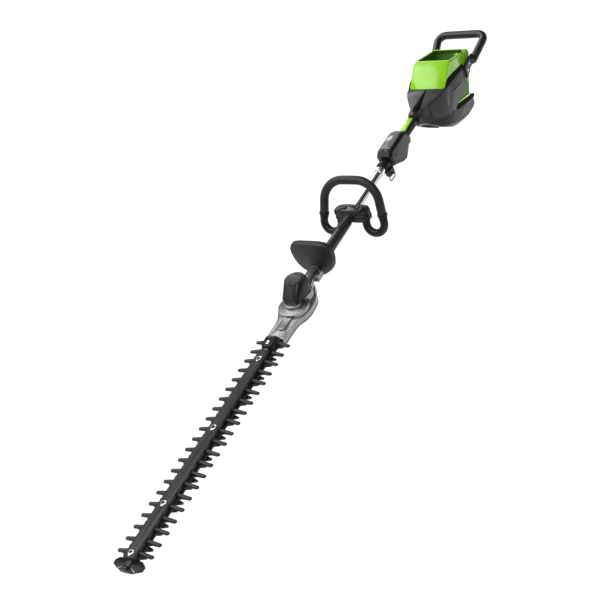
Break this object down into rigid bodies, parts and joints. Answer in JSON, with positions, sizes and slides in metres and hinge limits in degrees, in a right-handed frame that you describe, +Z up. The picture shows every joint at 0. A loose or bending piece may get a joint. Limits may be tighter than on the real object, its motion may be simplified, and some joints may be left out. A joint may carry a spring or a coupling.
{
  "type": "pole hedge trimmer",
  "caption": "Battery pole hedge trimmer: double-sided reciprocating cutter bar, geared head motor, straight pole, loop handle, trigger housing and open slide-in battery bay.",
  "frame": {"origin": "bottom centre of the bounding box, under the pole", "axes": "+X along the pole towards the rear handle, +Y to the user's right, +Z up"},
  "size_m": [2.151, 0.2186, 0.2428],
  "materials": {
    "black_plastic": "satin moulded",
    "black_steel": "satin black coating",
    "cutter_steel": "ground teeth, dark coating",
    "bright_steel": "zinc plated",
    "dark_steel": "blackened",
    "gear_steel": "machined",
    "cast_aluminium": "as cast, lightly blasted",
    "cast_aluminium_dark": "as cast",
    "copper_winding": "enamelled copper",
    "grey_plastic": "satin moulded",
    "panel_plastic": "semi gloss",
    "cable_rubber": "smooth",
    "polished_tube": "polished and anodised",
    "sleeve_plastic": "satin",
    "shield_plastic": "satin moulded",
    "grip_rubber": "soft touch",
    "chrome_plate": "plated",
    "trigger_plastic": "satin moulded",
    "lime_plastic": "glossy moulded",
    "green_plastic": "glossy moulded",
    "terminal_plastic": "with plated contacts",
    "dark_plastic": "satin moulded",
    "handle_plastic": "soft satin"
  },
  "bodies": {
    "frame": {"tip_guard": "black_plastic", "comb_guard": "black_steel", "guide_bar": "black_steel", "blade_bolts": "dark_steel", "blade_shields": "bright_steel", "blade_nuts": "dark_steel", "root_cap": "black_plastic", "root_screw": "bright_steel", "gearbox_upper_case": "cast_aluminium", "gearbox_lower_case": "cast_aluminium_dark", "gearbox_screws": "dark_steel", "head_bearings": "gear_steel", "motor_stator": "copper_winding", "motor_cover": "black_plastic", "motor_lid": "grey_plastic", "motor_lid_screws": "dark_steel", "motor_cable": "cable_rubber", "tube_clamp_screws": "dark_steel", "main_tube": "polished_tube", "tube_sleeve": "sleeve_plastic", "hand_shield": "shield_plastic", "chrome_collar": "chrome_plate", "harness_clamp": "black_plastic", "control_shell_left": "grey_plastic", "control_shell_right": "grey_plastic", "control_panel": "panel_plastic", "trigger_pin": "gear_steel", "trigger_spring": "gear_steel", "trigger_switch": "black_plastic", "lockoff_pin": "gear_steel", "grip_shell_left": "grip_rubber", "grip_shell_right": "grip_rubber", "battery_bay": "green_plastic", "bay_terminal": "terminal_plastic", "latch_spring": "gear_steel", "front_shell": "grey_plastic", "side_cover_left": "grey_plastic", "side_cover_right": "grey_plastic", "lower_housing": "dark_plastic", "controller": "cast_aluminium_dark", "rear_handle": "handle_plastic", "rear_handle_screws": "bright_steel", "housing_screws": "dark_steel"},
    "upper_cutter": {"cutter_blade_upper": "cutter_steel"},
    "lower_cutter": {"cutter_blade_lower": "cutter_steel"},
    "crank": {"crank_gear": "gear_steel"},
    "motor": {"motor_shaft": "gear_steel", "motor_rotor": "gear_steel"},
    "trigger": {"trigger": "trigger_plastic"},
    "lockoff": {"lockoff_lever": "lime_plastic"},
    "latch": {"battery_latch": "black_plastic"},
    "ring": {"harness_ring": "dark_steel"},
    "loop": {"loop_grip": "grip_rubber", "loop_bracket_left": "black_plastic", "loop_bracket_right": "black_plastic", "loop_screws": "dark_steel", "handle_clamp_upper": "black_plastic", "handle_clamp_lower": "black_plastic", "clamp_bolts": "dark_steel"}
  },
  "joints": [
    {"name": "upper_cutter_slide", "type": "slide", "parent": "frame", "child": "upper_cutter", "axis": [1, 0, 0], "range_m": [-0.015, 0.005]},
    {"name": "lower_cutter_slide", "type": "slide", "parent": "frame", "child": "lower_cutter", "axis": [1, 0, 0], "range_m": [-0.005, 0.015]},
    {"name": "crank_turn", "type": "hinge", "parent": "frame", "child": "crank", "pos_m": [-0.2145, 0, 0.126], "axis": [0, 0, 1], "continuous": true},
    {"name": "motor_turn", "type": "hinge", "parent": "frame", "child": "motor", "pos_m": [-0.1695, 0, 0.161], "axis": [0, 0, 1], "continuous": true},
    {"name": "trigger_press", "type": "hinge", "parent": "frame", "child": "trigger", "pos_m": [0.5485, 0, 0.1205], "axis": [0, 1, 0], "range_deg": [0, 11], "stiffness_Nm_per_rad": 1.3, "springref_deg": -5.73, "deforming": ["trigger_spring"]},
    {"name": "lockoff_press", "type": "hinge", "parent": "frame", "child": "lockoff", "pos_m": [0.5525, 0, 0.15], "axis": [0, 1, 0], "range_deg": [0, 3.6], "stiffness_Nm_per_rad": 2.4, "springref_deg": -1.72},
    {"name": "latch_press", "type": "slide", "parent": "frame", "child": "latch", "axis": [-0.2886, 0, -0.9574], "range_m": [0, 0.004], "stiffness_N_per_m": 1500, "springref_m": -0.0005, "deforming": ["latch_spring"]},
    {"name": "ring_swing", "type": "hinge", "parent": "frame", "child": "ring", "pos_m": [0.3885, -0.0205, 0.1288], "axis": [1, 0, 0], "range_deg": [-90, 70]},
    {"name": "loop_slide", "type": "slide", "parent": "frame", "child": "loop", "axis": [1, 0, 0], "range_m": [-0.014, 0.15]}
  ],
  "couplings": [
    {"joint": "lower_cutter_slide", "follows": "upper_cutter_slide", "ratio": -1},
    {"joint": "motor_turn", "follows": "crank_turn", "ratio": -5.4286}
  ]
}
